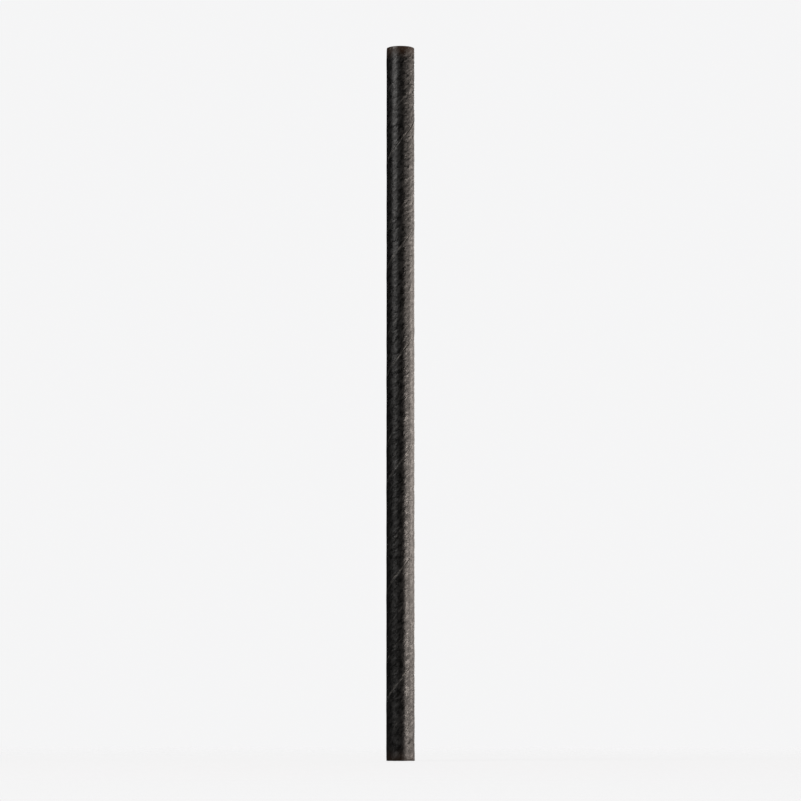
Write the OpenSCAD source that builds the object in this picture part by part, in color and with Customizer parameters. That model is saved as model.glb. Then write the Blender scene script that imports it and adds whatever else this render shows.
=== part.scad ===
// A short black drinking straw of paper.
// Three narrow strips of paper are glued over each other in a right-handed
// spiral round a rod, and the tube that comes off the rod is cut square to
// length. The turns of each strip don't quite meet, and the gap is its seam.
// The straw stands on one of its square ends, over the origin, and its front
// line is the one on the -Y side. All sizes are in millimetres.

/* [Straw] */
// Length from end to end
straw_l = 150; // [90:1:260]
// Diameter outside
straw_d = 6; // [5:0.1:12]

/* [Paper] */
// Thickness of each of the three strips
ply_t = 0.14; // [0.1:0.01:0.2]
// Gap between the turns of the outer strip
outer_gap = 0.15; // [0.1:0.01:0.5]
// Gap between the turns of the middle strip
middle_gap = 0.3; // [0.1:0.01:0.6]
// Gap between the turns of the strip that lines the bore
bore_gap = 0.4; // [0.1:0.01:0.6]

/* [Winding] */
// Way along the straw in one turn of the strips
lead = 22.6; // [18:0.1:36]
// Way up the front line from the lower end to the outer seam
seam_start = 16.7; // [0:0.1:22]
// Way up the straw from the outer seam to the middle strip's seam
middle_rise = 8.2; // [4:0.1:9]
// Way up the straw from the outer seam to the seam of the lining
lining_rise = 14.6; // [11:0.1:17]

/* [Hidden] */

paper_black = [0.10, 0.10, 0.105];

// Strips wound over each other
plies = 3;

// How far a cut runs past the wall that it opens, and past each end
past_skin = 0.3;
past_end = 1;

// Steps of a seam in each turn
steps_per_turn = 30;

// Sides of a round wall where it is drawn with flat ones
round_sides = 96;

straw_r = straw_d / 2;
bore_r = straw_r - plies * ply_t;

// The slope of the strips' edges against a ring round the straw
wind_angle = atan(lead / (PI * straw_d));

// The angle round the axis that a width square to the seam takes up
function round_angle(w, r) = w / sin(wind_angle) / r * 180 / PI;

// A point of the cross-section, by radius and angle
function polar(r, a) = [r * cos(a), r * sin(a)];

// A seam that crosses the front line at start: the gap between the turns of a
// strip, from one radius to another. Its cross-section is drawn round the axis
// at angle 0 and wound up the straw with the strips.
module seam(start, from_r, to_r, gap) {
    from_a = round_angle(gap, from_r) / 2;
    to_a = round_angle(gap, to_r) / 2;
    run = straw_l + 2 * past_end;
    translate([0, 0, -past_end])
        rotate(-90 - 360 * (start + past_end) / lead)
            linear_extrude(
                height = run,
                twist = -360 * run / lead,
                slices = ceil(steps_per_turn * run / lead),
                segments = 4
            )
                polygon([
                    polar(from_r, -from_a),
                    polar(to_r, -to_a),
                    polar(to_r, to_a),
                    polar(from_r, from_a)
                ]);
}

// The hairline seam in the skin, one strip deep
module outer_seam() {
    seam(seam_start, straw_r - ply_t, straw_r + past_skin, outer_gap);
}

// The seam inside the wall, which the other strips close over and which opens
// only at the cut ends
module middle_seam() {
    seam(seam_start + middle_rise, bore_r + ply_t, straw_r - ply_t, middle_gap);
}

// The seam of the lining, seen inside the bore
module bore_seam() {
    seam(seam_start + lining_rise, bore_r + ply_t, bore_r - past_skin, bore_gap);
}

module tube() {
    difference() {
        cylinder(r = straw_r, h = straw_l, $fn = round_sides);
        translate([0, 0, -past_end])
            cylinder(r = bore_r, h = straw_l + 2 * past_end, $fn = round_sides);
    }
}

module straw() {
    color(paper_black)
        difference() {
            tube();
            outer_seam();
            middle_seam();
            bore_seam();
        }
}

straw();
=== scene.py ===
"""A short black paper drinking straw, standing on its end on a pale floor.

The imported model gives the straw's length and radius. The visible straw is wound
again from its three paper strips. Each strip is a closed ribbon, spun round the
straw's axis with the lead of the winding and cut square at both ends, so its
seams, its edges and the rings at its cut ends are real forms. All lengths are in
metres, apart from the coordinates of the paper, which are in millimetres.
"""

import logging
import math
from dataclasses import dataclass
from enum import Enum

import bmesh
import bpy
from mathutils import Matrix, Vector, noise


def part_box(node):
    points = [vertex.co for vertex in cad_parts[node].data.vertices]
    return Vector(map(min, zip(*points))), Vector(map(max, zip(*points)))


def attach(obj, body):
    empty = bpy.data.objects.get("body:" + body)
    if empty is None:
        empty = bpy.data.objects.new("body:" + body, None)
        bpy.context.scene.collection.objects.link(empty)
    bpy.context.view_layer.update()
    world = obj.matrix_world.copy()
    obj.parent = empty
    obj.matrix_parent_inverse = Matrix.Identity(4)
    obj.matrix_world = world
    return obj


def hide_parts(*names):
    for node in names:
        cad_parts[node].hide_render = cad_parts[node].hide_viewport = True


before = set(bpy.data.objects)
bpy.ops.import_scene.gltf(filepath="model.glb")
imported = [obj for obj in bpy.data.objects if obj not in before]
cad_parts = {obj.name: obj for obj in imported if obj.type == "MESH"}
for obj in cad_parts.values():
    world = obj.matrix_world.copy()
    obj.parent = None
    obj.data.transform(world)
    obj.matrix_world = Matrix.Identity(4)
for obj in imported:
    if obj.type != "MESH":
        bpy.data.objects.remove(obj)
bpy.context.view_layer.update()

MM = 0.001
NODE = "straw"
BODY = "root"
PIECE = "wound_straw"

Span = tuple[float, float]
Triple = tuple[float, float, float]
Colour = tuple[float, float, float, float]

log = logging.getLogger("straw")


class Finish(Enum):
    """The finishes of the straw, in the order of its material slots."""

    SKIN = 0
    CUT = 1


class Side(Enum):
    """The two faces of a paper strip."""

    OUT = 1
    IN = -1


@dataclass(frozen=True)
class Winding:
    """The way in which all the strips run round the straw.

    Attributes:
        radius: Radius of the straw outside.
        length: Length of the straw.
        lead: Way up the straw in one turn.
        seam_start: Way up the front line from the lower end to the outer seam.
        seam_rises: Way up the straw from the outer seam to each strip's own seam.
        steps: Steps of a ribbon in one turn.
    """

    radius: float
    length: float
    lead: float = 22.6 * MM
    seam_start: float = 16.7 * MM
    seam_rises: tuple[float, ...] = (0.0, 8.2 * MM, 14.6 * MM)
    steps: int = 84

    @property
    def middle(self) -> Vector:
        """The point in the middle of the straw's axis."""
        return Vector((0.0, 0.0, self.length / 2.0))

    @property
    def slope(self) -> float:
        """The angle of the strips' edges against a ring round the straw."""
        return math.atan2(self.lead, 2.0 * math.pi * self.radius)

    @property
    def strip_pitch(self) -> float:
        """The way across from one turn of a strip to the next."""
        return self.lead * math.cos(self.slope)

    def seam_z(self, ply: int) -> float:
        """Gives where a strip's seam crosses the line on the straw's +X side.

        Args:
            ply: The strip, counted from the outer one.

        Returns:
            The height. The seam crosses that line there and each lead on.
        """
        front_to_side = self.lead / 4.0
        return self.seam_start + self.seam_rises[ply] + front_to_side

    def seam_across(self, ply: int) -> float:
        """Gives the way across the outer strip from its seam to another strip's."""
        return self.seam_rises[ply] * math.cos(self.slope)

    def unwind(self, point: Vector, ply: int) -> tuple[float, float]:
        """Finds a point's place on the unrolled strip.

        Args:
            point: A point on the straw's wall.
            ply: The strip, counted from the outer one.

        Returns:
            The way across the strip from its seam, and the way along it.
        """
        turn = math.atan2(point.y, point.x) / (2.0 * math.pi)
        leads = (point.z - self.seam_z(ply)) / self.lead - turn
        whole = math.floor(leads)
        offset = (leads - whole) * self.lead
        around = (turn + whole) * 2.0 * math.pi * self.radius
        across = offset * math.cos(self.slope)
        along = around / math.cos(self.slope) + offset * math.sin(self.slope)
        return across, along


@dataclass(frozen=True)
class Wander:
    """A slow, smooth drift along a strip, the same on each run.

    Attributes:
        size: The largest drift.
        wave: About how long one swing is.
        seed: What sets one drift apart from another. Each strip adds its place.
        layer: The layer of the noise that the drift is read from.
    """

    size: float
    wave: float
    seed: float
    layer: float = 0.37

    def at(self, along: float, ply: int = 0) -> float:
        """Gives the drift at a place along a strip.

        Args:
            along: The way along the strip.
            ply: The strip, counted from the outer one.

        Returns:
            The drift.
        """
        spot = Vector((along / self.wave, self.seed + ply, self.layer))
        return self.size * noise.noise(spot)


def everything(mesh: bmesh.types.BMesh) -> list:
    """Lists all the vertices, edges and faces of a mesh."""
    return mesh.verts[:] + mesh.edges[:] + mesh.faces[:]


@dataclass(frozen=True)
class Strip:
    """One of the paper strips that the straw is wound from.

    Attributes:
        name: Its name.
        ply: Its place, counted from the outer strip.
        outer_r: Radius of its outer face.
        inner_r: Radius of its inner face.
        gap: Gap between its turns, square to its edges.
        fine: The face that is seen, which gets close columns of vertices.
        lips: How far it rises towards its cut edges.
        ridges: Where it rides over the seams beneath it, each by the strip that
            the seam is in and the height.
    """

    name: str
    ply: int
    outer_r: float
    inner_r: float
    gap: float
    fine: Side
    lips: float = 0.0
    ridges: tuple[tuple[int, float], ...] = ()

    # Columns of vertices: how close and how wide they are on the seen face, how
    # fast they widen away from the edges, and how many parts the hidden face has
    FINEST = 0.035 * MM
    WIDEST = 0.5 * MM
    GROWTH = 0.3
    HIDDEN_PARTS = 6

    # Turns of the ribbon are welded where their vertices are this near
    WELD = 0.001 * MM

    # Rises at the edges and over the seams beneath: how far each spreads, how its
    # height swells along the strip, and how a ridge drifts off its seam
    RISE_REACH = 0.9 * MM
    LIP_SWELL = Wander(size=0.3, wave=3.1 * MM, seed=5.1, layer=0.0)
    RIDGE_SWELL = Wander(size=0.6, wave=4.3 * MM, seed=2.4, layer=0.0)
    RIDGE_DRIFT = Wander(size=0.3 * MM, wave=14.0 * MM, seed=8.3)

    # Edges: how far they are rounded, the share of that which the face sinks,
    # how they waver, and how far into the strip the wavering reaches
    EDGE_ROUND = 0.03 * MM
    EDGE_SINK = 0.8
    NEAR_EDGE = Wander(size=0.09 * MM, wave=9.0 * MM, seed=1.7)
    FAR_EDGE = Wander(size=0.09 * MM, wave=9.0 * MM, seed=4.9)
    EDGE_PULL = 0.9 * MM

    # The knife's cut: how near a vertex is taken as on the cutting plane, how
    # near it then counts as on the cut, how deep and how long the cut wanders,
    # and how far apart in the noise each strip's wandering is read
    CUT_NEAR = 1e-8
    ON_CUT = 1e-7
    KNIFE_DEPTH = 0.045 * MM
    KNIFE_WAVE = 0.9 * MM
    KNIFE_STEP = 3.0

    # The wall pressed in next to the cuts: how far, how far up it reaches, and
    # the rings of vertices that carry it and its end, as shares of that reach
    PINCH = 0.035 * MM
    PINCH_REACH = 0.35 * MM
    PINCH_RINGS = (0.3, 0.65, 1.0, 1.5, 2.2)
    PINCH_END = 3.0

    # A face that looks out or in by more than this is skin and not a cut edge,
    # and edges that turn by more than this stay sharp
    SKIN_FACING = 0.62
    CREASE = math.radians(38.0)

    def columns(self, winding: Winding, side: Side) -> list[float]:
        """Places the columns of vertices of one face across the strip.

        On the seen face they are close at the strip's edges and wider apart
        between them. The hidden face has only a few.

        Args:
            winding: The straw's winding.
            side: The face.

        Returns:
            The way across the strip from its seam, in rising order.
        """
        first = self.gap / 2.0
        last = winding.strip_pitch - first
        if side is not self.fine:
            parts = self.HIDDEN_PARTS
            return [first + (last - first) * i / parts for i in range(parts + 1)]
        places = [first]
        while places[-1] < last - self.FINEST:
            here = places[-1] + self.FINEST
            from_edge = min(abs(here - first), abs(here - last))
            places.append(here + min(self.GROWTH * from_edge, self.WIDEST))
        places[-1] = last
        return places

    def section(self, winding: Winding) -> list[Vector]:
        """Draws the strip's cross-section where it crosses the +X side.

        Args:
            winding: The straw's winding.

        Returns:
            The corners of the closed outline, in order.
        """
        stretch = 1.0 / math.cos(winding.slope)
        start = winding.seam_z(self.ply)
        outline = [
            Vector((self.outer_r, 0.0, start + across * stretch))
            for across in self.columns(winding, Side.OUT)
        ]
        outline += [
            Vector((self.inner_r, 0.0, start + across * stretch))
            for across in reversed(self.columns(winding, Side.IN))
        ]
        return outline

    def spin(self, winding: Winding) -> bmesh.types.BMesh:
        """Winds the cross-section round the axis, past both ends of the straw.

        Args:
            winding: The straw's winding.

        Returns:
            The ribbon's skin, open where it starts and ends.
        """
        ribbon = bmesh.new()
        turns_below = math.ceil(winding.seam_z(self.ply) / winding.lead) + 1
        shift = Vector((0.0, 0.0, -turns_below * winding.lead))
        corners = [ribbon.verts.new(p + shift) for p in self.section(winding)]
        ring = [ribbon.edges.new(pair) for pair in zip(corners, corners[1:] + corners[:1])]
        bmesh.ops.spin(
            ribbon,
            geom=corners + ring,
            cent=(0.0, 0.0, 0.0),
            axis=(0.0, 0.0, 1.0),
            dvec=(0.0, 0.0, winding.lead / winding.steps),
            angle=2.0 * math.pi,
            steps=winding.steps,
        )
        one_turn = everything(ribbon)
        turns = math.ceil(winding.length / winding.lead) + turns_below + 1
        for turn in range(1, turns):
            copy = bmesh.ops.duplicate(ribbon, geom=one_turn)["geom"]
            moved = [v for v in copy if isinstance(v, bmesh.types.BMVert)]
            bmesh.ops.translate(ribbon, verts=moved, vec=(0.0, 0.0, turn * winding.lead))
        bmesh.ops.remove_doubles(ribbon, verts=ribbon.verts[:], dist=self.WELD)
        return ribbon

    def relief(self, across: float, along: float, side: Side, winding: Winding) -> float:
        """Gives how far the strip stands off its wound radius.

        Args:
            across: The way across the strip from its seam.
            along: The way along the strip.
            side: The face that the point is on.
            winding: The straw's winding.

        Returns:
            The rise, negative where the strip sinks.
        """
        rise = 0.0
        from_edge = min(across, winding.strip_pitch - across) - self.gap / 2.0
        if self.lips:
            swell = 1.0 + self.LIP_SWELL.at(along)
            rise += self.lips * swell * math.exp(-((from_edge / self.RISE_REACH) ** 2))
        for ply, height in self.ridges:
            off = across - winding.seam_across(ply) - self.RIDGE_DRIFT.at(along, ply)
            swell = 1.0 + self.RIDGE_SWELL.at(along, ply)
            rise += height * swell * math.exp(-((off / self.RISE_REACH) ** 2))
        if side is self.fine:
            rounding = math.exp(-max(from_edge, 0.0) / self.EDGE_ROUND)
            rise -= side.value * self.EDGE_ROUND * self.EDGE_SINK * rounding
        return rise

    def settle(self, ribbon: bmesh.types.BMesh, winding: Winding) -> None:
        """Presses the ribbon on the straw: its relief, waves and wavering edges.

        Args:
            ribbon: The ribbon, changed in place.
            winding: The straw's winding.
        """
        middle_r = (self.outer_r + self.inner_r) / 2.0
        stretch = 1.0 / math.cos(winding.slope)
        for vert in ribbon.verts:
            spoke = Vector((vert.co.x, vert.co.y, 0.0))
            side = Side.OUT if spoke.length > middle_r else Side.IN
            across, along = winding.unwind(vert.co, self.ply)
            rise = self.relief(across, along, side, winding)
            rise += wall_waves(vert.co)
            past_near = max(across - self.gap / 2.0, 0.0)
            past_far = max(winding.strip_pitch - self.gap / 2.0 - across, 0.0)
            slide = self.NEAR_EDGE.at(along, self.ply) * math.exp(-past_near / self.EDGE_PULL)
            slide += self.FAR_EDGE.at(along, self.ply) * math.exp(-past_far / self.EDGE_PULL)
            vert.co += spoke.normalized() * rise
            vert.co.z += slide * stretch

    def cut_ends(self, ribbon: bmesh.types.BMesh, winding: Winding) -> None:
        """Cuts the ribbon square at both ends of the straw and closes it there.

        Args:
            ribbon: The ribbon, changed in place.
            winding: The straw's winding.
        """
        for height, way in ((0.0, -1.0), (winding.length, 1.0)):
            cut = bmesh.ops.bisect_plane(
                ribbon,
                geom=everything(ribbon),
                dist=self.CUT_NEAR,
                plane_co=(0.0, 0.0, height),
                plane_no=(0.0, 0.0, way),
                clear_outer=True,
            )
            rim = [e for e in cut["geom_cut"] if isinstance(e, bmesh.types.BMEdge)]
            bmesh.ops.triangle_fill(ribbon, edges=rim, use_beauty=True)
        bmesh.ops.recalc_face_normals(ribbon, faces=ribbon.faces[:])

    def roughen_ends(self, ribbon: bmesh.types.BMesh, winding: Winding) -> None:
        """Lets the knife's cut wander a little, inwards only.

        Args:
            ribbon: The ribbon, changed in place.
            winding: The straw's winding.
        """
        half = winding.length / 2.0
        apart = Vector((0.0, 0.0, self.KNIFE_STEP * self.ply))
        for vert in ribbon.verts:
            over = vert.co.z - half
            if half - abs(over) < self.ON_CUT:
                wander = noise.noise(vert.co / self.KNIFE_WAVE + apart)
                depth = self.KNIFE_DEPTH * (0.5 + 0.5 * wander)
                vert.co.z -= math.copysign(depth, over)

    def pinch_ends(self, ribbon: bmesh.types.BMesh, winding: Winding) -> None:
        """Presses the wall inwards next to the cuts, as the knife leaves it.

        Args:
            ribbon: The ribbon, changed in place.
            winding: The straw's winding.
        """
        for share in self.PINCH_RINGS:
            depth = share * self.PINCH_REACH
            for height in (depth, winding.length - depth):
                bmesh.ops.bisect_plane(
                    ribbon,
                    geom=everything(ribbon),
                    dist=self.CUT_NEAR,
                    plane_co=(0.0, 0.0, height),
                    plane_no=(0.0, 0.0, 1.0),
                )
        for vert in ribbon.verts:
            from_end = min(vert.co.z, winding.length - vert.co.z) / self.PINCH_REACH
            if from_end < self.PINCH_END:
                spoke = Vector((vert.co.x, vert.co.y, 0.0)).normalized()
                vert.co -= spoke * self.PINCH * math.exp(-(from_end ** 2))

    def dress(self, ribbon: bmesh.types.BMesh) -> None:
        """Gives each face its finish and marks the edges that stay sharp.

        Args:
            ribbon: The ribbon, changed in place.
        """
        for face in ribbon.faces:
            middle = face.calc_center_median()
            spoke = Vector((middle.x, middle.y, 0.0)).normalized()
            on_skin = abs(face.normal.dot(spoke)) > self.SKIN_FACING
            face.material_index = (Finish.SKIN if on_skin else Finish.CUT).value
            face.smooth = True
        for edge in ribbon.edges:
            edge.smooth = len(edge.link_faces) < 2 or edge.calc_face_angle(0.0) < self.CREASE

    def build(self, winding: Winding) -> bmesh.types.BMesh:
        """Makes the strip as it lies in the straw.

        Args:
            winding: The straw's winding.

        Returns:
            The closed ribbon.
        """
        ribbon = self.spin(winding)
        self.settle(ribbon, winding)
        self.cut_ends(ribbon, winding)
        self.roughen_ends(ribbon, winding)
        self.pinch_ends(ribbon, winding)
        self.dress(ribbon)
        return ribbon


def wall_waves(point: Vector) -> float:
    """Gives the small waves that all the strips share, as glued paper has.

    Args:
        point: A point on the straw's wall.

    Returns:
        The rise of the wall there.
    """
    long_height, long_wave = 0.014 * MM, 6.5 * MM
    short_height, short_wave = 0.005 * MM, 1.9 * MM
    apart = Vector((7.0, 3.0, 1.0))
    rise = long_height * noise.noise(point / long_wave)
    rise += short_height * noise.noise(point / short_wave + apart)
    return rise


class Board:
    """A node tree with short ways to place and join nodes."""

    # How the nodes are laid out, for a person who opens the tree
    PER_ROW = 12
    STEP_X = 190.0
    STEP_Y = -230.0

    # The way in which a pattern is moved
    SHIFT_WAY = (1.0, 0.7, 1.3)

    def __init__(self, tree: bpy.types.NodeTree) -> None:
        """Takes the tree that the nodes go on."""
        self.tree = tree
        self.placed = 0

    def add(self, kind: str, **settings: object) -> bpy.types.Node:
        """Places a node.

        Args:
            kind: The node's type.
            settings: The node's own settings.

        Returns:
            The node.
        """
        node = self.tree.nodes.new(kind)
        row, column = divmod(self.placed, self.PER_ROW)
        node.location = (self.STEP_X * column, self.STEP_Y * row)
        self.placed += 1
        for name, value in settings.items():
            setattr(node, name, value)
        return node

    def feed(self, socket: bpy.types.NodeSocket, source: object) -> None:
        """Joins a source to a socket, or sets the socket to a plain value."""
        if isinstance(source, bpy.types.NodeSocket):
            self.tree.links.new(source, socket)
        else:
            socket.default_value = source

    def fill(self, node: bpy.types.Node, *sources: object) -> None:
        """Feeds a node's inputs in their order."""
        for socket, source in zip(node.inputs, sources):
            self.feed(socket, source)

    def math(self, operation: str, *values: object) -> bpy.types.NodeSocket:
        """Works out a number from one or two values or sockets."""
        node = self.add("ShaderNodeMath", operation=operation)
        self.fill(node, *values)
        return node.outputs[0]

    def weigh(self, first: object, second: object, share: float) -> bpy.types.NodeSocket:
        """Adds two numbers, the first with its share and the second with the rest."""
        part = self.math("MULTIPLY", first, share)
        rest = self.math("MULTIPLY", second, 1.0 - share)
        return self.math("ADD", part, rest)

    def vector(self, x: object = 0.0, y: object = 0.0, z: object = 0.0) -> bpy.types.NodeSocket:
        """Puts a vector together from its parts."""
        node = self.add("ShaderNodeCombineXYZ")
        self.fill(node, x, y, z)
        return node.outputs[0]

    def parts(self, vector: object) -> bpy.types.bpy_prop_collection:
        """Takes a vector apart and gives its X, Y and Z."""
        node = self.add("ShaderNodeSeparateXYZ")
        self.fill(node, vector)
        return node.outputs

    def noise(self, vector: object, scale: float, detail: float, roughness: float,
              distortion: float = 0.0) -> bpy.types.NodeSocket:
        """Places a noise and gives its value, from 0 to 1."""
        node = self.add("ShaderNodeTexNoise", noise_dimensions="3D")
        self.feed(node.inputs["Vector"], vector)
        node.inputs["Scale"].default_value = scale
        node.inputs["Detail"].default_value = detail
        node.inputs["Roughness"].default_value = roughness
        node.inputs["Distortion"].default_value = distortion
        return node.outputs["Fac"]

    def mapped(self, vector: object, turn: float, stretch: Triple,
               shift: float) -> bpy.types.NodeSocket:
        """Turns a pattern's vector in its plane, moves it and stretches it."""
        turned = self.add("ShaderNodeMapping", vector_type="POINT")
        self.feed(turned.inputs["Vector"], vector)
        turned.inputs["Rotation"].default_value = (0.0, 0.0, turn)
        turned.inputs["Location"].default_value = [shift * way for way in self.SHIFT_WAY]
        sized = self.add("ShaderNodeMapping", vector_type="POINT")
        self.feed(sized.inputs["Vector"], turned.outputs["Vector"])
        sized.inputs["Scale"].default_value = stretch
        return sized.outputs["Vector"]

    def span(self, value: object, source: Span, result: Span = (0.0, 1.0)) -> bpy.types.NodeSocket:
        """Maps a value from one span to another with soft ends."""
        node = self.add("ShaderNodeMapRange", interpolation_type="SMOOTHSTEP")
        self.feed(node.inputs["Value"], value)
        node.inputs["From Min"].default_value, node.inputs["From Max"].default_value = source
        node.inputs["To Min"].default_value, node.inputs["To Max"].default_value = result
        return node.outputs["Result"]

    def mix(self, share: object, first: object, second: object) -> bpy.types.NodeSocket:
        """Mixes two colours by a share."""
        node = self.add("ShaderNodeMix", data_type="RGBA", clamp_factor=True)
        self.feed(node.inputs["Factor"], share)
        self.feed(node.inputs["A"], first)
        self.feed(node.inputs["B"], second)
        return node.outputs["Result"]

    def either(self, share: object, first: object, second: object) -> bpy.types.NodeSocket:
        """Mixes two shaders by a share."""
        node = self.add("ShaderNodeMixShader")
        self.fill(node, share, first, second)
        return node.outputs[0]

    def bump(self, height: object, distance: float,
             under: bpy.types.NodeSocket | None = None) -> bpy.types.NodeSocket:
        """Makes a normal from a height, on top of another normal if one is given."""
        node = self.add("ShaderNodeBump")
        self.feed(node.inputs["Height"], height)
        node.inputs["Distance"].default_value = distance
        if under is not None:
            self.feed(node.inputs["Normal"], under)
        return node.outputs["Normal"]

    def group(self, tree: bpy.types.NodeTree, **values: object) -> bpy.types.bpy_prop_collection:
        """Places a node group and gives its outputs.

        Args:
            tree: The group.
            values: What its inputs take, by their names with underscores for spaces.

        Returns:
            The outputs.
        """
        node = self.add("ShaderNodeGroup", node_tree=tree)
        for name, value in values.items():
            self.feed(node.inputs[name.replace("_", " ")], value)
        return node.outputs

    def surface(self, shader: bpy.types.NodeSocket, kind: str = "ShaderNodeOutputMaterial") -> None:
        """Ends the tree with a shader."""
        self.feed(self.add(kind).inputs["Surface"], shader)


def new_group(name: str, inputs: dict[str, str],
              outputs: dict[str, str]) -> tuple[Board, bpy.types.Node, bpy.types.Node]:
    """Starts a shader node group with named sockets.

    Args:
        name: The group's name.
        inputs: The kind of each input, by name.
        outputs: The kind of each output, by name.

    Returns:
        The group's board, its input node and its output node.
    """
    tree = bpy.data.node_groups.new(name, "ShaderNodeTree")
    for way, sockets in (("INPUT", inputs), ("OUTPUT", outputs)):
        for label, kind in sockets.items():
            tree.interface.new_socket(name=label, in_out=way, socket_type=kind)
    board = Board(tree)
    return board, board.add("NodeGroupInput"), board.add("NodeGroupOutput")


def new_material(name: str) -> tuple[bpy.types.Material, Board]:
    """Starts a material with no nodes, and gives it and its board."""
    material = bpy.data.materials.new(name)
    material.use_nodes = True
    material.node_tree.nodes.clear()
    return material, Board(material.node_tree)


NUMBER = "NodeSocketFloat"
VECTOR = "NodeSocketVector"


def strip_place_group(winding: Winding) -> bpy.types.NodeTree:
    """Builds the group that unrolls the straw: where a point lies on its strip.

    Args:
        winding: The straw's winding.

    Returns:
        The group. It takes a point and where a seam crosses the +X side, in
        metres, and gives millimetres across from that seam and along the strip,
        and the same two as one vector.
    """
    board, entry, leave = new_group(
        "Place on the strip",
        {"Point": VECTOR, "Seam": NUMBER},
        {"Across": NUMBER, "Along": NUMBER, "Place": VECTOR},
    )
    point = board.parts(entry.outputs["Point"])
    turn = board.math("DIVIDE", board.math("ARCTAN2", point["Y"], point["X"]), 2.0 * math.pi)
    from_seam = board.math("SUBTRACT", point["Z"], entry.outputs["Seam"])
    leads = board.math("SUBTRACT", board.math("DIVIDE", from_seam, winding.lead), turn)
    whole = board.math("FLOOR", leads)
    offset = board.math("MULTIPLY", board.math("SUBTRACT", leads, whole), winding.lead / MM)
    round_mm = 2.0 * math.pi * winding.radius / MM
    around = board.math("MULTIPLY", board.math("ADD", turn, whole), round_mm)
    across = board.math("MULTIPLY", offset, math.cos(winding.slope))
    along = board.math(
        "ADD",
        board.math("DIVIDE", around, math.cos(winding.slope)),
        board.math("MULTIPLY", offset, math.sin(winding.slope)),
    )
    board.feed(leave.inputs["Across"], across)
    board.feed(leave.inputs["Along"], along)
    board.feed(leave.inputs["Place"], board.vector(along, across))
    return board.tree


@dataclass(frozen=True)
class Fibres:
    """Fibres or waves that lie in one direction of the paper.

    Attributes:
        turn: Their turn against the strip's edges.
        scale: Waves in each millimetre, along them, across them and up from them.
        shift: How far the pattern is moved, so that no two are alike.
        detail: How many finer waves lie on them.
        roughness: How strong the finer waves are.
        bend: How far they bend.
    """

    turn: float
    scale: Triple
    shift: float = 0.0
    detail: float = 3.0
    roughness: float = 0.6
    bend: float = 0.7

    def lay(self, board: Board, place: bpy.types.NodeSocket) -> bpy.types.NodeSocket:
        """Lays them on the paper and gives their value, from 0 to 1."""
        vector = board.mapped(place, self.turn, self.scale, self.shift)
        return board.noise(vector, 1.0, self.detail, self.roughness, self.bend)


@dataclass(frozen=True)
class PaperSurface:
    """The pattern of the paper's own surface.

    Attributes:
        felt: The three directions of its fibres. The last two cross each other.
        cockle: Its small waves.
        clouds: Scale, detail and roughness of the clouds in the dye.
        grain: Scale, detail and roughness of the grain.
        felt_in_tone: Share of the fibres in the tone, against the clouds.
        felt_in_height: Share of the fibres in the height, against the grain.
        tone_span: The span of the mixed noise that the tone takes up.
        stray_span: The span in which a fibre turns light.
        grain_span: The span of the grain that lets a light fibre show.
    """

    felt: tuple[Fibres, ...] = (
        Fibres(turn=0.1, scale=(0.6, 2.4, 1.0), bend=0.6),
        Fibres(turn=0.62, scale=(0.7, 3.0, 1.0), shift=3.1),
        Fibres(turn=-0.5, scale=(0.7, 3.0, 1.0), shift=7.7),
    )
    cockle: Fibres = Fibres(
        turn=0.08, scale=(0.75, 1.3, 1.0), shift=5.3, detail=1.0, roughness=0.5, bend=0.3
    )
    clouds: Triple = (0.8, 3.0, 0.6)
    grain: Triple = (9.0, 2.0, 0.6)
    felt_in_tone: float = 0.7
    felt_in_height: float = 0.8
    tone_span: Span = (0.395, 0.615)
    stray_span: Span = (0.68, 0.78)
    grain_span: Span = (0.4, 0.6)

    def group(self) -> bpy.types.NodeTree:
        """Builds the group for the paper's own surface.

        Returns:
            The group. It takes a place in millimetres and gives a tone, rare
            light fibres, the height of the fibres and that of the paper's small
            waves, each from 0 to 1.
        """
        board, entry, leave = new_group(
            "Paper fibres",
            {"Place": VECTOR},
            {"Tone": NUMBER, "Stray": NUMBER, "Height": NUMBER, "Cockle": NUMBER},
        )
        place = entry.outputs["Place"]
        clouds = board.noise(place, *self.clouds)
        along, left, right = (fibres.lay(board, place) for fibres in self.felt)
        grain = board.noise(place, *self.grain)
        felt = board.math("ADD", board.math("ADD", along, left), right)
        felt = board.math("DIVIDE", felt, len(self.felt))
        tone = board.weigh(felt, clouds, self.felt_in_tone)
        light = board.span(board.math("MAXIMUM", left, right), self.stray_span)
        shown = board.span(grain, self.grain_span)
        board.feed(leave.inputs["Tone"], board.span(tone, self.tone_span))
        board.feed(leave.inputs["Stray"], board.math("MULTIPLY", light, shown))
        board.feed(leave.inputs["Height"], board.weigh(felt, grain, self.felt_in_height))
        board.feed(leave.inputs["Cockle"], self.cockle.lay(board, place))
        return board.tree


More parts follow.
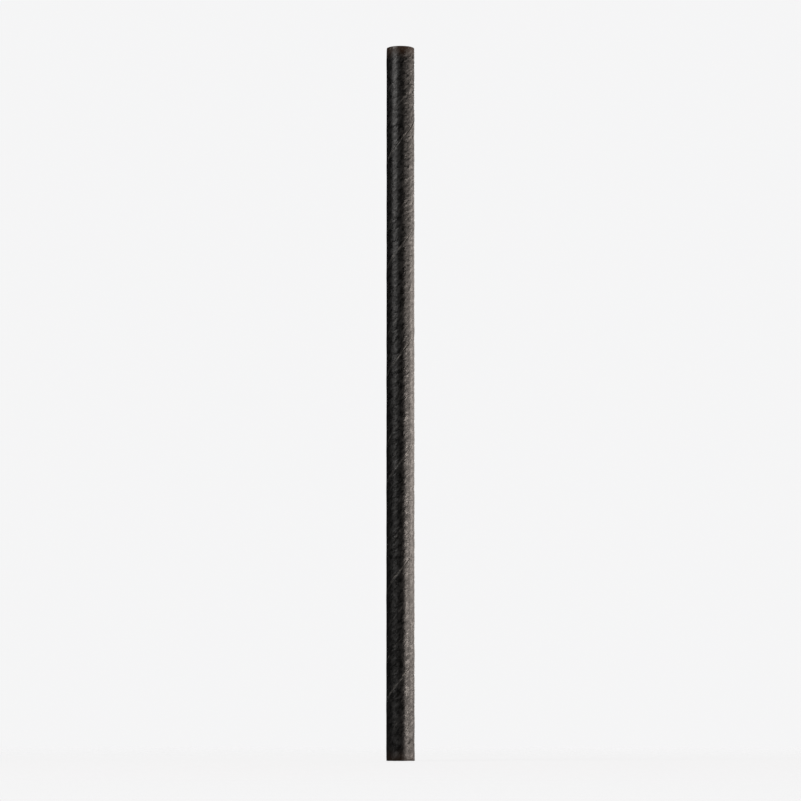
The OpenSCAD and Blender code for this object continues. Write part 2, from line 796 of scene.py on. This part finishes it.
@dataclass(frozen=True)
class WearAndGlintLine:
    """The pattern of a light line that follows a seam: rubbed paper with a painted glint.

    Attributes:
        soft: The span of the way off the line, in half widths, in which it ends.
        narrow: How much shorter its patches are across the line than along it.
        patches: Scale, detail and roughness of its patches.
        kept: The span of the patches in which the line is whole.
    """

    soft: Span = (0.55, 1.0)
    narrow: float = 3.0
    patches: Triple = (0.42, 4.0, 0.8)
    kept: Span = (0.49, 0.70)

    def group(self) -> bpy.types.NodeTree:
        """Builds the group for a worn line.

        Returns:
            Builds the group for a light seam line, rubbed paper with a painted glint.
            half width and how broken it is, and gives the line's share of the
            colour.
        """
        board, entry, leave = new_group(
            "Wear and glint line",
            {"Off": NUMBER, "Along": NUMBER, "Half Width": NUMBER, "Broken": NUMBER},
            {"Share": NUMBER},
        )
        taken = entry.outputs
        off = board.math("DIVIDE", board.math("ABSOLUTE", taken["Off"]), taken["Half Width"])
        band = board.span(off, self.soft, (1.0, 0.0))
        place = board.vector(taken["Along"], board.math("MULTIPLY", taken["Off"], self.narrow))
        kept = board.span(board.noise(place, *self.patches), self.kept)
        lost = board.math("MULTIPLY", taken["Broken"], board.math("SUBTRACT", 1.0, kept))
        share = board.math("MULTIPLY", band, board.math("SUBTRACT", 1.0, lost))
        board.feed(leave.inputs["Share"], share)
        return board.tree


@dataclass(frozen=True)
class BlackPaper:
    """The finish of the straw's dyed, smooth-rolled paper.

    Attributes:
        deep: The dye where it lies thick.
        thin: The dye where fibres show through.
        stray: A light fibre.
        wear_and_glint: The light colour of the seam lines, raw and rubbed paper with a painted
            glint of the raised seams.
        scuffed: The brown that the dye wears to at the cut ends.
        gloss: Roughness where the dye lies thick, and where fibres show through.
        sheen: Strength of the mirrored light.
        bump: Height of the fibres.
        waves: Height of the paper's small waves.
        seam_line: Half width in millimetres of the light line along the outer
            seam, a raw edge with a painted glint, and how broken it is.
        ridge_line: The same for the light lines over the seams beneath, rubbed crests with a
            painted highlight of the ridges.
        ridge_shares: How strong each of those is, by the strip of its seam.
        scuff_reach: How far the scuffed paper reaches from the cut ends.
        top_scuff: How scuffed the paper is at the upper end.
        foot_scuff: How scuffed it is at the lower end.
        scuff_matt: How much rougher paper would be that is wholly scuffed.
    """

    deep: Colour = (0.0008, 0.0007, 0.0007, 1.0)
    thin: Colour = (0.0104, 0.0098, 0.0093, 1.0)
    stray: Colour = (0.055, 0.053, 0.050, 1.0)
    # The light seam lines: raw and rubbed paper, with a painted glint of the raised seams
    wear_and_glint: Colour = (0.30, 0.287, 0.27, 1.0)
    scuffed: Colour = (0.105, 0.044, 0.013, 1.0)
    gloss: Span = (0.265, 0.455)
    sheen: float = 0.53
    bump: float = 0.036 * MM
    waves: float = 0.076 * MM
    seam_line: tuple[float, float] = (0.24, 0.93)
    ridge_line: tuple[float, float] = (0.22, 0.97)
    ridge_shares: tuple[tuple[int, float], ...] = ((1, 0.4), (2, 0.22))
    scuff_reach: float = 3.0 * MM
    top_scuff: float = 0.25
    foot_scuff: float = 0.11
    scuff_matt: float = 0.3

    def paint_wear_and_glint_lines(self, board: Board, dyed: bpy.types.NodeSocket, winding: Winding,
                 across: bpy.types.NodeSocket, along: bpy.types.NodeSocket) -> bpy.types.NodeSocket:
        """Paints light lines along the outer seam and over the seams beneath it, rubbed paper with
        a painted glint.

        Args:
            board: The material's board.
            dyed: The dye's colour.
            winding: The straw's winding.
            across: Millimetres across the strip from its seam.
            along: Millimetres along the strip.

        Returns:
            The colour with the lines of wear and painted glint.
        """
        line_tree = WearAndGlintLine().group()
        far_seam = winding.strip_pitch / MM
        off = board.math("MINIMUM", across, board.math("SUBTRACT", far_seam, across))
        half, broken = self.seam_line
        seam = board.group(line_tree, Off=off, Along=along, Half_Width=half, Broken=broken)
        # The outer seam's light line: the raw edge, with a painted glint of the raised edge
        dyed = board.mix(seam["Share"], dyed, self.wear_and_glint)
        half, broken = self.ridge_line
        for ply, strength in self.ridge_shares:
            off = board.math("SUBTRACT", across, winding.seam_across(ply) / MM)
            ridge = board.group(line_tree, Off=off, Along=along, Half_Width=half, Broken=broken)
            share = board.math("MULTIPLY", ridge["Share"], strength)
            # The lines over the seams beneath: rubbed crests, with a painted highlight of the
            # ridges
            dyed = board.mix(share, dyed, self.wear_and_glint)
        return dyed

    def scuff(self, board: Board, point: bpy.types.NodeSocket,
              winding: Winding) -> bpy.types.NodeSocket:
        """Gives how scuffed the paper is at a point, which it is only at the ends."""
        above = board.parts(point)["Z"]
        below = board.math("SUBTRACT", winding.length, above)
        reach = (0.0, self.scuff_reach)
        top = board.span(below, reach, (self.top_scuff, 0.0))
        foot = board.span(above, reach, (self.foot_scuff, 0.0))
        return board.math("MAXIMUM", top, foot)

    def material(self, winding: Winding) -> bpy.types.Material:
        """Builds the material.

        Args:
            winding: The straw's winding.

        Returns:
            The material.
        """
        material, board = new_material("Black straw paper")
        point = board.add("ShaderNodeTexCoord").outputs["Object"]
        strip = board.group(strip_place_group(winding), Point=point, Seam=winding.seam_z(0))
        fibres = board.group(PaperSurface().group(), Place=strip["Place"])
        dyed = board.mix(fibres["Tone"], self.deep, self.thin)
        dyed = board.mix(fibres["Stray"], dyed, self.stray)
        dyed = self.paint_wear_and_glint_lines(board, dyed, winding, strip["Across"], strip["Along"])
        scuff = self.scuff(board, point, winding)
        rough = board.span(fibres["Tone"], (0.0, 1.0), self.gloss)
        matt = board.math("MULTIPLY", scuff, self.scuff_matt)
        bsdf = board.add("ShaderNodeBsdfPrincipled")
        board.feed(bsdf.inputs["Base Color"], board.mix(scuff, dyed, self.scuffed))
        board.feed(bsdf.inputs["Roughness"], board.math("ADD", rough, matt))
        bsdf.inputs["Specular IOR Level"].default_value = self.sheen
        waves = board.bump(fibres["Cockle"], self.waves)
        board.feed(bsdf.inputs["Normal"], board.bump(fibres["Height"], self.bump, waves))
        board.surface(bsdf.outputs["BSDF"])
        return material


@dataclass(frozen=True)
class CutPaper:
    """The finish of the paper where a knife went through it.

    Attributes:
        dark: The dye between the fibres.
        light: The cut fibres.
        rough: Roughness.
        fine: Scale, detail and roughness of the cut fibres' pattern.
        clouds: The same for the clouds in it.
        fine_share: Share of the fibres in the colour, against the clouds.
        light_span: The span of both in which the colour turns light.
        bump: Height of the cut fibres.
    """

    dark: Colour = (0.020, 0.019, 0.019, 1.0)
    light: Colour = (0.125, 0.120, 0.112, 1.0)
    rough: float = 0.85
    fine: Triple = (9000.0, 3.0, 0.65)
    clouds: Triple = (1400.0, 2.0, 0.5)
    fine_share: float = 0.6
    light_span: Span = (0.38, 0.64)
    bump: float = 0.02 * MM

    def material(self) -> bpy.types.Material:
        """Builds the material."""
        material, board = new_material("Cut paper")
        point = board.add("ShaderNodeTexCoord").outputs["Object"]
        fine = board.noise(point, *self.fine)
        clouds = board.noise(point, *self.clouds)
        share = board.span(board.weigh(fine, clouds, self.fine_share), self.light_span)
        bsdf = board.add("ShaderNodeBsdfPrincipled")
        board.feed(bsdf.inputs["Base Color"], board.mix(share, self.dark, self.light))
        bsdf.inputs["Roughness"].default_value = self.rough
        board.feed(bsdf.inputs["Normal"], board.bump(fine, self.bump))
        board.surface(bsdf.outputs["BSDF"])
        return material


@dataclass(frozen=True)
class Straw:
    """The wound straw: three strips in one piece.

    Attributes:
        winding: How the strips run.
        wall: Thickness of the wall.
        outer_gap: Gap between the turns of the outer strip.
        middle_gap: Gap between the turns of the middle strip.
        bore_gap: Gap between the turns of the lining.
        skin_drop: How far the wound surface lies inside the straw's full radius,
            which only the lifted edges reach.
        glue: Gap between the strips, so that no two faces lie in one place.
        lips: How far the outer strip rises towards its edges.
        ridges: How far it rises over each seam beneath it, by that seam's strip.
    """

    winding: Winding
    wall: float = 0.42 * MM
    outer_gap: float = 0.06 * MM
    middle_gap: float = 0.3 * MM
    bore_gap: float = 0.4 * MM
    skin_drop: float = 0.055 * MM
    glue: float = 0.006 * MM
    lips: float = 0.03 * MM
    ridges: tuple[tuple[int, float], ...] = ((1, 0.026 * MM), (2, 0.017 * MM))

    # How many strips make the wall
    PLIES = 3

    def strips(self) -> list[Strip]:
        """Lists the strips from the outer one to the lining."""
        outer_r = self.winding.radius - self.skin_drop
        bore_r = self.winding.radius - self.wall
        ply_t = (outer_r - bore_r) / self.PLIES
        middle_r = outer_r - ply_t
        lining_r = middle_r - ply_t
        return [
            Strip("outer strip", 0, outer_r, middle_r + self.glue, self.outer_gap, Side.OUT,
                  lips=self.lips, ridges=self.ridges),
            Strip("middle strip", 1, middle_r, lining_r + self.glue, self.middle_gap, Side.OUT),
            Strip("lining", 2, lining_r, bore_r, self.bore_gap, Side.IN),
        ]

    def build(self) -> bpy.types.Object:
        """Winds the strips and joins them into the straw.

        Returns:
            The straw's object, with its place in its mesh.
        """
        whole = bmesh.new()
        for strip in self.strips():
            ribbon = strip.build(self.winding)
            part = bpy.data.meshes.new(strip.name)
            ribbon.to_mesh(part)
            log.info("%s: %d faces", strip.name, len(ribbon.faces))
            ribbon.free()
            whole.from_mesh(part)
            bpy.data.meshes.remove(part)
        mesh = bpy.data.meshes.new(PIECE)
        whole.to_mesh(mesh)
        whole.free()
        straw = bpy.data.objects.new(PIECE, mesh)
        bpy.context.scene.collection.objects.link(straw)
        return straw

    def dress(self, straw: bpy.types.Object) -> None:
        """Gives the straw its finishes, in the order of the Finish list."""
        straw.data.materials.append(BlackPaper().material(self.winding))
        straw.data.materials.append(CutPaper().material())


@dataclass(frozen=True)
class SoftLamp:
    """A large soft lamp that looks at the straw.

    Attributes:
        name: Its name.
        azimuth: Degrees round the straw from the camera's side to the right.
        height: Height of its middle.
        wide: Its width.
        tall: Its height.
        radiance: How bright its face is, where 1 is white.
        distance: How far it is from the straw's axis.
        tint: Its colour.
    """

    name: str
    azimuth: float
    height: float
    wide: float
    tall: float
    radiance: float
    distance: float = 1.0
    tint: Triple = (1.0, 1.0, 1.0)

    # Power that a square metre of the face takes for a radiance of 1
    FACE_POWER = 4.0

    def build(self, target: Vector) -> None:
        """Makes the lamp.

        Args:
            target: The point that the lamp faces.
        """
        data = bpy.data.lights.new(self.name, "AREA")
        data.shape = "RECTANGLE"
        data.size = self.wide
        data.size_y = self.tall
        data.energy = self.radiance * self.FACE_POWER * self.wide * self.tall
        data.color = self.tint
        angle = math.radians(self.azimuth)
        place = Vector((math.sin(angle), -math.cos(angle), 0.0)) * self.distance
        place.z = self.height
        lamp = bpy.data.objects.new(self.name, data)
        lamp.matrix_world = looking(place, target)
        lamp.visible_camera = False
        bpy.context.scene.collection.objects.link(lamp)


def looking(place: Vector, target: Vector) -> Matrix:
    """Places what looks along its own -Z, with its own Y as upright as can be.

    Args:
        place: Where it is.
        target: The point that it looks at.

    Returns:
        Its matrix in the world.
    """
    ray = (target - place).normalized()
    side = ray.cross(Vector((0.0, 0.0, 1.0))).normalized()
    turn = Matrix((side, side.cross(ray), -ray)).transposed().to_4x4()
    return Matrix.Translation(place) @ turn


@dataclass(frozen=True)
class Studio:
    """The pale floor, the lamps, the room and the camera.

    Attributes:
        pale: Colour of the floor and the backdrop, as the camera sees them.
        floor_sides: Sides of the floor's round rim.
        floor_reach: Radius of the floor.
        floor_even: Radius in which the floor is whole, before it fades away.
        floor_gone: Share of the floor's radius at which it has faded away.
        floor_plain: Share of the floor's tone that no lamp or shadow changes.
        floor_tone: Strength of that share.
        bounce: How much light the floor gives back to the straw.
        ambient: Brightness of the dim room round the lamps.
        warm: Triple of the light from the right.
        hazy: Triple of the light from the left.
        eye: Place of the camera.
        nearest: How near to the camera a thing may be and still be seen.
        fill: Share of the picture's height that the straw takes up.
    """

    pale: Colour = (0.915, 0.915, 0.92, 1.0)
    floor_sides: int = 96
    floor_reach: float = 0.55
    floor_even: float = 0.03
    floor_gone: float = 0.98
    floor_plain: float = 0.8
    floor_tone: float = 0.975
    bounce: float = 0.12
    ambient: float = 0.02
    warm: Triple = (1.0, 0.885, 0.805)
    hazy: Triple = (1.0, 0.975, 0.955)
    eye: Triple = (0.0, -0.646, 0.007)
    nearest: float = 0.01
    fill: float = 0.9

    def lamps(self) -> list[SoftLamp]:
        """Lists the lamps: two in front, one to the right and two dim ones behind."""
        return [
            SoftLamp("right lamp", azimuth=54.5, height=0.06, wide=0.59, tall=0.12,
                     radiance=15.9, tint=self.warm),
            SoftLamp("left lamp", azimuth=-50.0, height=0.91, wide=0.78, tall=1.3,
                     radiance=3.4, tint=self.hazy),
            SoftLamp("right side lamp", azimuth=97.0, height=0.15, wide=0.69, tall=0.3,
                     radiance=5.8, tint=self.warm),
            SoftLamp("right rim lamp", azimuth=138.0, height=0.17, wide=0.8, tall=0.34,
                     radiance=1.5, tint=self.warm),
            SoftLamp("back lamp", azimuth=172.0, height=0.3, wide=0.5, tall=0.9,
                     radiance=2.6),
        ]

    def floor_material(self) -> bpy.types.Material:
        """Builds the floor's material.

        The camera sees a mostly plain tone that fades into the backdrop. The
        straw sees a dim floor.
        """
        material, board = new_material("Pale floor")
        seen = board.add("ShaderNodeLightPath").outputs["Is Camera Ray"]
        dim = tuple(c * self.bounce for c in self.pale[:3]) + (1.0,)
        lit = board.add("ShaderNodeBsdfDiffuse")
        board.feed(lit.inputs["Color"], board.mix(seen, dim, self.pale))
        plain = board.add("ShaderNodeEmission")
        plain.inputs["Strength"].default_value = self.floor_tone / self.pale[0]
        plain.inputs["Color"].default_value = self.pale
        plainness = board.math("MULTIPLY", seen, self.floor_plain)
        face = board.either(plainness, lit.outputs[0], plain.outputs[0])
        reach = board.add("ShaderNodeVectorMath", operation="LENGTH")
        board.fill(reach, board.add("ShaderNodeTexCoord").outputs["Object"])
        fade = (self.floor_even, self.floor_reach * self.floor_gone)
        gone = board.span(reach.outputs["Value"], fade)
        clear = board.add("ShaderNodeBsdfTransparent").outputs[0]
        board.surface(board.either(gone, face, clear))
        return material

    def floor(self) -> None:
        """Makes the floor, a disc at the height of zero that fades at its rim."""
        disc = bmesh.new()
        bmesh.ops.create_circle(
            disc, cap_ends=True, segments=self.floor_sides, radius=self.floor_reach
        )
        mesh = bpy.data.meshes.new("floor")
        disc.to_mesh(mesh)
        disc.free()
        mesh.materials.append(self.floor_material())
        floor = bpy.data.objects.new("floor", mesh)
        bpy.context.scene.collection.objects.link(floor)

    def world(self) -> None:
        """Makes the room: dim for the straw, pale where the camera sees it."""
        world = bpy.data.worlds.new("room")
        world.use_nodes = True
        world.node_tree.nodes.clear()
        board = Board(world.node_tree)
        seen = board.add("ShaderNodeLightPath").outputs["Is Camera Ray"]
        backdrop = board.add("ShaderNodeBackground")
        backdrop.inputs["Color"].default_value = self.pale
        room = board.add("ShaderNodeBackground")
        room.inputs["Color"].default_value = (1.0, 1.0, 1.0, 1.0)
        room.inputs["Strength"].default_value = self.ambient
        both = board.either(seen, room.outputs[0], backdrop.outputs[0])
        board.surface(both, "ShaderNodeOutputWorld")
        bpy.context.scene.world = world

    def camera(self, winding: Winding) -> None:
        """Makes the camera, which looks at the straw square on, from its lower end.

        Args:
            winding: The straw's winding, for its length.
        """
        eye = Vector(self.eye)
        place = looking(eye, winding.middle)
        up, back = place.col[1].xyz, place.col[2].xyz
        reach = 0.0
        for height in (0.0, winding.length):
            end = Vector((0.0, 0.0, height)) - eye
            reach = max(reach, abs(end.dot(up)) / -end.dot(back))
        data = bpy.data.cameras.new("camera")
        data.angle = 2.0 * math.atan(reach / self.fill)
        data.clip_start = self.nearest
        camera = bpy.data.objects.new("camera", data)
        camera.matrix_world = place
        bpy.context.scene.collection.objects.link(camera)
        bpy.context.scene.camera = camera

    def build(self, winding: Winding) -> None:
        """Builds all of the studio round the straw."""
        bpy.context.scene.view_settings.view_transform = "Standard"
        self.floor()
        self.world()
        for lamp in self.lamps():
            lamp.build(winding.middle)
        self.camera(winding)


def main() -> None:
    """Builds the straw from the imported part's box, hides that part, and builds the studio."""
    logging.basicConfig(level=logging.INFO, format="%(name)s: %(message)s")
    low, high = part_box(NODE)
    winding = Winding(radius=(high.x - low.x) / 2.0, length=high.z - low.z)
    log.info("paper strips %.2f mm wide", winding.strip_pitch / MM)
    maker = Straw(winding)
    straw = maker.build()
    maker.dress(straw)
    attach(straw, BODY)
    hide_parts(NODE)
    log.info("straw: %d faces", len(straw.data.polygons))
    Studio().build(winding)
    log.info("studio: floor, lamps, room and camera")


if __name__ == "__main__":
    main()
